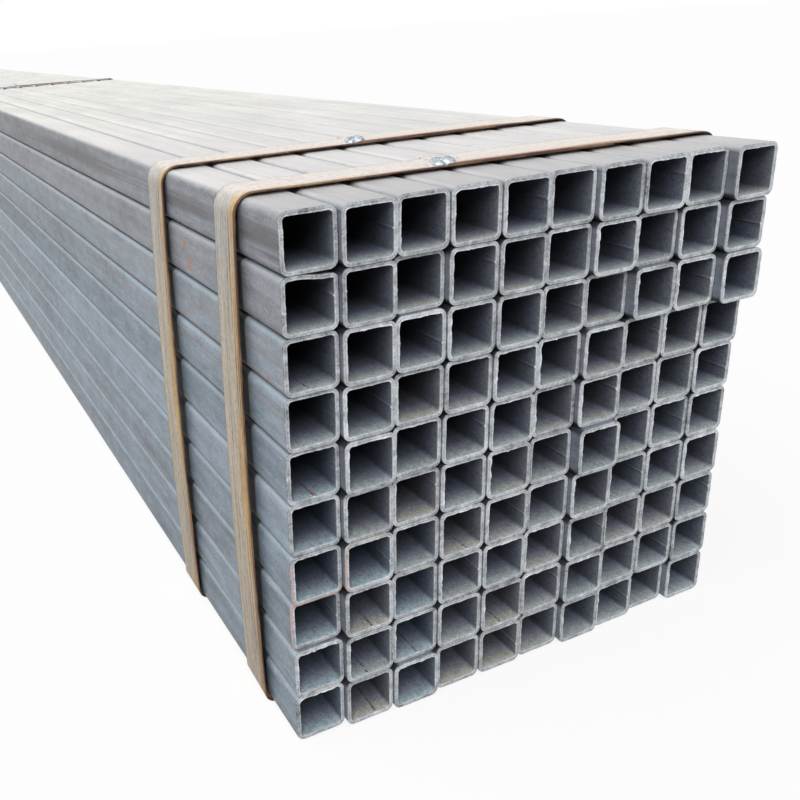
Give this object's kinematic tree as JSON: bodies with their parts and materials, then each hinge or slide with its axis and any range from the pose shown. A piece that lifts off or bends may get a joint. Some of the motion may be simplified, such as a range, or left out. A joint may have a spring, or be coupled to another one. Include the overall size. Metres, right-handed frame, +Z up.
{
  "type": "banded pack of square steel tube",
  "caption": "Pack of square hollow steel tubes stacked in a square block and held by welded steel strip bands, as stored before cutting and fabrication.",
  "frame": {"origin": "underside of the bands, at the middle of the pack's width and length", "axes": "+X across the pack to the right as seen from the front ends, +Y along the tubes away from the front ends, +Z up"},
  "size_m": [0.4196, 6.025, 0.4122],
  "materials": {
    "tube_steel": "blue-grey mill finish with sawn ends",
    "band_steel": "tan slit strip with rusty edges",
    "weld_metal": "bright weld lumps"
  },
  "bodies": {
    "root": {"tube_row_01": "tube_steel", "tube_row_02": "tube_steel", "tube_row_03": "tube_steel", "tube_row_04": "tube_steel", "tube_row_05": "tube_steel", "tube_row_06": "tube_steel", "tube_row_07": "tube_steel", "tube_row_08": "tube_steel", "tube_row_09": "tube_steel", "tube_row_10": "tube_steel", "band_1": "band_steel", "band_2": "band_steel", "band_3": "band_steel", "band_4": "band_steel", "band_5": "band_steel", "band_6": "band_steel", "band_weld_1": "weld_metal", "band_weld_2": "weld_metal", "band_weld_3": "weld_metal", "band_weld_4": "weld_metal", "band_weld_5": "weld_metal", "band_weld_6": "weld_metal"}
  },
  "joints": []
}
